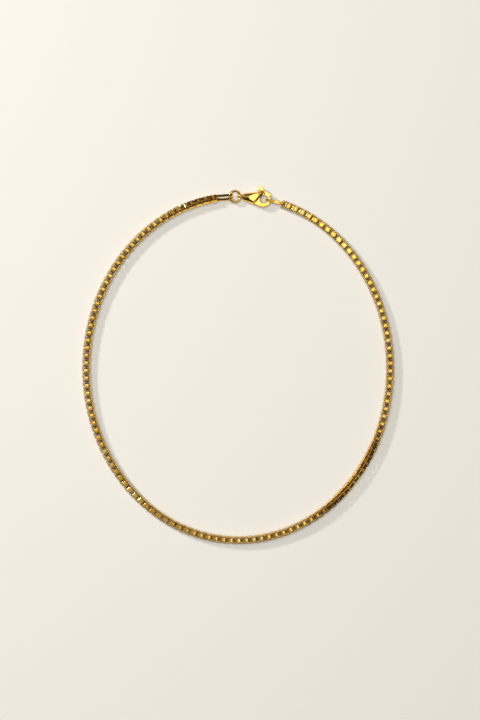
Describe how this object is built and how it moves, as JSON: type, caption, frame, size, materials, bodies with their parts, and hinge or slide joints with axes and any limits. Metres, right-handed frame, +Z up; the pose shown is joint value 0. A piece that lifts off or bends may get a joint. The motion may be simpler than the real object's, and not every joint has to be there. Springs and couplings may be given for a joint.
{
  "type": "chain necklace",
  "caption": "Gold box chain necklace lying in a closed oval, with long end links, a jump ring and a lobster clasp with a sprung trigger",
  "frame": {"origin": "middle of the necklace on the surface it lies on", "axes": "+Z up, +Y toward the clasp at the back of the neck, +X to the wearer's left as seen from above with the clasp at the top"},
  "size_m": [0.1274, 0.146, 0.0034],
  "materials": {
    "chain_gold": "polished yellow gold, fine wear on the edges of the links",
    "clasp_gold": "high polish yellow gold",
    "pin_gold": "polished yellow gold, flush ends",
    "spring_steel": "bright spring wire"
  },
  "bodies": {
    "front_run": {"chain_front": "chain_gold"},
    "right_run_01": {"chain_right_01": "chain_gold"},
    "right_run_02": {"chain_right_02": "chain_gold"},
    "right_run_03": {"chain_right_03": "chain_gold"},
    "right_run_04": {"chain_right_04": "chain_gold"},
    "right_run_05": {"chain_right_05": "chain_gold"},
    "right_run_06": {"chain_right_06": "chain_gold"},
    "right_run_07": {"chain_right_07": "chain_gold"},
    "right_run_08": {"chain_right_08": "chain_gold"},
    "right_run_09": {"chain_right_09": "chain_gold"},
    "right_run_10": {"chain_right_10": "chain_gold"},
    "right_run_11": {"chain_right_11": "chain_gold"},
    "right_run_12": {"chain_right_12": "chain_gold"},
    "right_run_13": {"chain_right_13": "chain_gold"},
    "right_run_14": {"chain_right_14": "chain_gold"},
    "right_run_15": {"chain_right_15": "chain_gold"},
    "right_run_16": {"chain_right_16": "chain_gold"},
    "right_run_17": {"chain_right_17": "chain_gold"},
    "right_run_18": {"chain_right_18": "chain_gold"},
    "right_run_19": {"chain_right_19": "chain_gold"},
    "right_run_20": {"chain_right_20": "chain_gold"},
    "right_end": {"right_end_link": "clasp_gold"},
    "left_run_01": {"chain_left_01": "chain_gold"},
    "left_run_02": {"chain_left_02": "chain_gold"},
    "left_run_03": {"chain_left_03": "chain_gold"},
    "left_run_04": {"chain_left_04": "chain_gold"},
    "left_run_05": {"chain_left_05": "chain_gold"},
    "left_run_06": {"chain_left_06": "chain_gold"},
    "left_run_07": {"chain_left_07": "chain_gold"},
    "left_run_08": {"chain_left_08": "chain_gold"},
    "left_run_09": {"chain_left_09": "chain_gold"},
    "left_run_10": {"chain_left_10": "chain_gold"},
    "left_run_11": {"chain_left_11": "chain_gold"},
    "left_run_12": {"chain_left_12": "chain_gold"},
    "left_run_13": {"chain_left_13": "chain_gold"},
    "left_run_14": {"chain_left_14": "chain_gold"},
    "left_run_15": {"chain_left_15": "chain_gold"},
    "left_run_16": {"chain_left_16": "chain_gold"},
    "left_run_17": {"chain_left_17": "chain_gold"},
    "left_run_18": {"chain_left_18": "chain_gold"},
    "left_run_19": {"chain_left_19": "chain_gold"},
    "left_run_20": {"chain_left_20": "chain_gold"},
    "left_run_21": {"chain_left_21": "chain_gold"},
    "left_end": {"left_end_link": "clasp_gold"},
    "ring": {"jump_ring": "clasp_gold"},
    "clasp": {"clasp_body": "clasp_gold", "trigger_pin": "pin_gold", "trigger_spring": "spring_steel"},
    "trigger": {"trigger": "clasp_gold"}
  },
  "joints": [
    {"name": "loop_squeeze", "type": "hinge", "parent": "front_run", "child": "right_run_01", "pos_m": [0.00545, -0.07123, 0.0015], "axis": [0, 0, 1], "range_deg": [-4.8, 4.8]},
    {"name": "bend_right_02", "type": "hinge", "parent": "right_run_01", "child": "right_run_02", "pos_m": [0.01464, -0.06952, 0.0015], "axis": [0, 0, 1], "range_deg": [-5.4, 5.4]},
    {"name": "bend_right_03", "type": "hinge", "parent": "right_run_02", "child": "right_run_03", "pos_m": [0.02343, -0.06632, 0.00151], "axis": [0, 0, 1], "range_deg": [-5.4, 5.4]},
    {"name": "bend_right_04", "type": "hinge", "parent": "right_run_03", "child": "right_run_04", "pos_m": [0.03159, -0.06175, 0.00155], "axis": [0, 0, 1], "range_deg": [-5.4, 5.4]},
    {"name": "bend_right_05", "type": "hinge", "parent": "right_run_04", "child": "right_run_05", "pos_m": [0.03895, -0.05599, 0.00165], "axis": [0, 0, 1], "range_deg": [-5.4, 5.4]},
    {"name": "bend_right_06", "type": "hinge", "parent": "right_run_05", "child": "right_run_06", "pos_m": [0.0454, -0.04922, 0.00167], "axis": [0, 0, 1], "range_deg": [-6.6, 6.6]},
    {"name": "bend_right_07", "type": "hinge", "parent": "right_run_06", "child": "right_run_07", "pos_m": [0.05086, -0.04162, 0.00167], "axis": [0, 0, 1], "range_deg": [-6.6, 6.6]},
    {"name": "bend_right_08", "type": "hinge", "parent": "right_run_07", "child": "right_run_08", "pos_m": [0.05527, -0.03338, 0.00164], "axis": [0, 0, 1], "range_deg": [-6.6, 6.6]},
    {"name": "bend_right_09", "type": "hinge", "parent": "right_run_08", "child": "right_run_09", "pos_m": [0.05861, -0.02464, 0.00154], "axis": [0, 0, 1], "range_deg": [-6.6, 6.6]},
    {"name": "loop_fold", "type": "hinge", "parent": "right_run_09", "child": "right_run_10", "pos_m": [0.06086, -0.01556, 0.0015], "axis": [1, 0, 0], "range_deg": [-6, 6]},
    {"name": "fold_right_11", "type": "hinge", "parent": "right_run_10", "child": "right_run_11", "pos_m": [0.062, -0.00627, 0.0015], "axis": [1, 0, 0], "range_deg": [-6.6, 6.6]},
    {"name": "fold_right_12", "type": "hinge", "parent": "right_run_11", "child": "right_run_12", "pos_m": [0.06205, 0.00308, 0.0015], "axis": [1, 0, 0], "range_deg": [-6.6, 6.6]},
    {"name": "fold_right_13", "type": "hinge", "parent": "right_run_12", "child": "right_run_13", "pos_m": [0.061, 0.01238, 0.0015], "axis": [1, 0, 0], "range_deg": [-6.6, 6.6]},
    {"name": "bend_right_14", "type": "hinge", "parent": "right_run_13", "child": "right_run_14", "pos_m": [0.05885, 0.02148, 0.0015], "axis": [0, 0, 1], "range_deg": [-6.6, 6.6]},
    {"name": "bend_right_15", "type": "hinge", "parent": "right_run_14", "child": "right_run_15", "pos_m": [0.05561, 0.03025, 0.0015], "axis": [0, 0, 1], "range_deg": [-6.6, 6.6]},
    {"name": "bend_right_16", "type": "hinge", "parent": "right_run_15", "child": "right_run_16", "pos_m": [0.05129, 0.03855, 0.0015], "axis": [0, 0, 1], "range_deg": [-6.6, 6.6]},
    {"name": "bend_right_17", "type": "hinge", "parent": "right_run_16", "child": "right_run_17", "pos_m": [0.04592, 0.04621, 0.0015], "axis": [0, 0, 1], "range_deg": [-2.52, 2.52]},
    {"name": "bend_right_18", "type": "hinge", "parent": "right_run_17", "child": "right_run_18", "pos_m": [0.03955, 0.05306, 0.0015], "axis": [0, 0, 1], "range_deg": [-0.81, 0.81]},
    {"name": "bend_right_19", "type": "hinge", "parent": "right_run_18", "child": "right_run_19", "pos_m": [0.03226, 0.05892, 0.0015], "axis": [0, 0, 1], "range_deg": [-1.17, 1.17]},
    {"name": "bend_right_20", "type": "hinge", "parent": "right_run_19", "child": "right_run_20", "pos_m": [0.02416, 0.06359, 0.0015], "axis": [0, 0, 1], "range_deg": [-6.61, 6.61]},
    {"name": "bend_right_end", "type": "hinge", "parent": "right_run_20", "child": "right_end", "pos_m": [0.0184, 0.06597, 0.0015], "axis": [0, 0, 1], "range_deg": [-6.61, 6.61]},
    {"name": "bend_left_01", "type": "hinge", "parent": "front_run", "child": "left_run_01", "pos_m": [-0.00545, -0.07123, 0.0015], "axis": [0, 0, 1], "range_deg": [-5.4, 5.4]},
    {"name": "bend_left_02", "type": "hinge", "parent": "left_run_01", "child": "left_run_02", "pos_m": [-0.01464, -0.06952, 0.0015], "axis": [0, 0, 1], "range_deg": [-5.4, 5.4]},
    {"name": "bend_left_03", "type": "hinge", "parent": "left_run_02", "child": "left_run_03", "pos_m": [-0.02343, -0.06632, 0.0015], "axis": [0, 0, 1], "range_deg": [-5.4, 5.4]},
    {"name": "bend_left_04", "type": "hinge", "parent": "left_run_03", "child": "left_run_04", "pos_m": [-0.03159, -0.06175, 0.0015], "axis": [0, 0, 1], "range_deg": [-5.4, 5.4]},
    {"name": "bend_left_05", "type": "hinge", "parent": "left_run_04", "child": "left_run_05", "pos_m": [-0.03895, -0.05599, 0.0015], "axis": [0, 0, 1], "range_deg": [-5.4, 5.4]},
    {"name": "bend_left_06", "type": "hinge", "parent": "left_run_05", "child": "left_run_06", "pos_m": [-0.0454, -0.04922, 0.0015], "axis": [0, 0, 1], "range_deg": [-6.6, 6.6]},
    {"name": "bend_left_07", "type": "hinge", "parent": "left_run_06", "child": "left_run_07", "pos_m": [-0.05086, -0.04162, 0.0015], "axis": [0, 0, 1], "range_deg": [-6.6, 6.6]},
    {"name": "bend_left_08", "type": "hinge", "parent": "left_run_07", "child": "left_run_08", "pos_m": [-0.05527, -0.03338, 0.0015], "axis": [0, 0, 1], "range_deg": [-6.6, 6.6]},
    {"name": "bend_left_09", "type": "hinge", "parent": "left_run_08", "child": "left_run_09", "pos_m": [-0.05861, -0.02464, 0.0015], "axis": [0, 0, 1], "range_deg": [-6.6, 6.6]},
    {"name": "fold_left_10", "type": "hinge", "parent": "left_run_09", "child": "left_run_10", "pos_m": [-0.06086, -0.01556, 0.0015], "axis": [1, 0, 0], "range_deg": [-6.6, 6.6]},
    {"name": "fold_left_11", "type": "hinge", "parent": "left_run_10", "child": "left_run_11", "pos_m": [-0.062, -0.00627, 0.0015], "axis": [1, 0, 0], "range_deg": [-6.6, 6.6]},
    {"name": "fold_left_12", "type": "hinge", "parent": "left_run_11", "child": "left_run_12", "pos_m": [-0.06205, 0.00308, 0.0015], "axis": [1, 0, 0], "range_deg": [-6.6, 6.6]},
    {"name": "fold_left_13", "type": "hinge", "parent": "left_run_12", "child": "left_run_13", "pos_m": [-0.061, 0.01238, 0.0015], "axis": [1, 0, 0], "range_deg": [-6.6, 6.6]},
    {"name": "bend_left_14", "type": "hinge", "parent": "left_run_13", "child": "left_run_14", "pos_m": [-0.05885, 0.02148, 0.0015], "axis": [0, 0, 1], "range_deg": [-6.6, 6.6]},
    {"name": "bend_left_15", "type": "hinge", "parent": "left_run_14", "child": "left_run_15", "pos_m": [-0.05561, 0.03025, 0.0015], "axis": [0, 0, 1], "range_deg": [-6.6, 6.6]},
    {"name": "bend_left_16", "type": "hinge", "parent": "left_run_15", "child": "left_run_16", "pos_m": [-0.05129, 0.03855, 0.0015], "axis": [0, 0, 1], "range_deg": [-6.6, 6.6]},
    {"name": "bend_left_17", "type": "hinge", "parent": "left_run_16", "child": "left_run_17", "pos_m": [-0.04592, 0.04621, 0.0015], "axis": [0, 0, 1], "range_deg": [-6.62, 6.62]},
    {"name": "bend_left_18", "type": "hinge", "parent": "left_run_17", "child": "left_run_18", "pos_m": [-0.03955, 0.05306, 0.00151], "axis": [0, 0, 1], "range_deg": [-5.06, 5.06]},
    {"name": "bend_left_19", "type": "hinge", "parent": "left_run_18", "child": "left_run_19", "pos_m": [-0.03226, 0.05892, 0.00156], "axis": [0, 0, 1], "range_deg": [-6.61, 6.61]},
    {"name": "bend_left_20", "type": "hinge", "parent": "left_run_19", "child": "left_run_20", "pos_m": [-0.02416, 0.06359, 0.00165], "axis": [0, 0, 1], "range_deg": [-6.62, 6.62]},
    {"name": "bend_left_21", "type": "hinge", "parent": "left_run_20", "child": "left_run_21", "pos_m": [-0.01543, 0.06692, 0.00167], "axis": [0, 0, 1], "range_deg": [-6.61, 6.61]},
    {"name": "bend_left_end", "type": "hinge", "parent": "left_run_21", "child": "left_end", "pos_m": [-0.00935, 0.06832, 0.00166], "axis": [0, 0, 1], "range_deg": [-1.52, 1.52]},
    {"name": "ring_turn", "type": "hinge", "parent": "left_end", "child": "ring", "pos_m": [-0.00349, 0.06889, 0.00165], "axis": [0, 0, 1], "range_deg": [-4.06, 4.06]},
    {"name": "clasp_roll", "type": "hinge", "parent": "ring", "child": "clasp", "pos_m": [0.0009, 0.06912, 0.00165], "axis": [0.9931, -0.1175, 0], "range_deg": [-12, 12]},
    {"name": "trigger_pull", "type": "hinge", "parent": "clasp", "child": "trigger", "pos_m": [0.0085, 0.06978, 0.00165], "axis": [0, 0, 1], "range_deg": [0, 20], "stiffness_Nm_per_rad": 0.0002, "springref_deg": -20.05, "deforming": ["trigger_spring"]}
  ],
  "couplings": [
    {"joint": "bend_right_02", "follows": "loop_squeeze", "ratio": 1},
    {"joint": "bend_right_03", "follows": "loop_squeeze", "ratio": 1},
    {"joint": "bend_right_04", "follows": "loop_squeeze", "ratio": 1},
    {"joint": "bend_right_05", "follows": "loop_squeeze", "ratio": 1},
    {"joint": "bend_right_06", "follows": "loop_squeeze", "ratio": -1.25},
    {"joint": "bend_right_07", "follows": "loop_squeeze", "ratio": -1.25},
    {"joint": "bend_right_08", "follows": "loop_squeeze", "ratio": -1.25},
    {"joint": "bend_right_09", "follows": "loop_squeeze", "ratio": -1.25},
    {"joint": "fold_right_11", "follows": "loop_fold", "ratio": 1},
    {"joint": "fold_right_12", "follows": "loop_fold", "ratio": 1},
    {"joint": "fold_right_13", "follows": "loop_fold", "ratio": 1},
    {"joint": "bend_right_14", "follows": "loop_squeeze", "ratio": -1.25},
    {"joint": "bend_right_15", "follows": "loop_squeeze", "ratio": -1.25},
    {"joint": "bend_right_16", "follows": "loop_squeeze", "ratio": -1.25},
    {"joint": "bend_right_17", "follows": "loop_squeeze", "ratio": -0.40085},
    {"joint": "bend_right_18", "follows": "loop_squeeze", "ratio": 0.04373},
    {"joint": "bend_right_19", "follows": "loop_squeeze", "ratio": 0.11899},
    {"joint": "bend_right_20", "follows": "loop_squeeze", "ratio": 1.2513},
    {"joint": "bend_right_end", "follows": "loop_squeeze", "ratio": 1.2522},
    {"joint": "bend_left_01", "follows": "loop_squeeze", "ratio": -1},
    {"joint": "bend_left_02", "follows": "loop_squeeze", "ratio": -1},
    {"joint": "bend_left_03", "follows": "loop_squeeze", "ratio": -1},
    {"joint": "bend_left_04", "follows": "loop_squeeze", "ratio": -1},
    {"joint": "bend_left_05", "follows": "loop_squeeze", "ratio": -1},
    {"joint": "bend_left_06", "follows": "loop_squeeze", "ratio": 1.25},
    {"joint": "bend_left_07", "follows": "loop_squeeze", "ratio": 1.25},
    {"joint": "bend_left_08", "follows": "loop_squeeze", "ratio": 1.25},
    {"joint": "bend_left_09", "follows": "loop_squeeze", "ratio": 1.25},
    {"joint": "fold_left_10", "follows": "loop_fold", "ratio": 1},
    {"joint": "fold_left_11", "follows": "loop_fold", "ratio": 1},
    {"joint": "fold_left_12", "follows": "loop_fold", "ratio": 1},
    {"joint": "fold_left_13", "follows": "loop_fold", "ratio": 1},
    {"joint": "bend_left_14", "follows": "loop_squeeze", "ratio": 1.25},
    {"joint": "bend_left_15", "follows": "loop_squeeze", "ratio": 1.25},
    {"joint": "bend_left_16", "follows": "loop_squeeze", "ratio": 1.25},
    {"joint": "bend_left_17", "follows": "loop_squeeze", "ratio": 1.2542},
    {"joint": "bend_left_18", "follows": "loop_squeeze", "ratio": -0.92912},
    {"joint": "bend_left_19", "follows": "loop_squeeze", "ratio": -1.2526},
    {"joint": "bend_left_20", "follows": "loop_squeeze", "ratio": -1.2532},
    {"joint": "bend_left_21", "follows": "loop_squeeze", "ratio": -1.2516},
    {"joint": "bend_left_end", "follows": "loop_squeeze", "ratio": -0.19148},
    {"joint": "ring_turn", "follows": "loop_squeeze", "ratio": 0.71979}
  ]
}
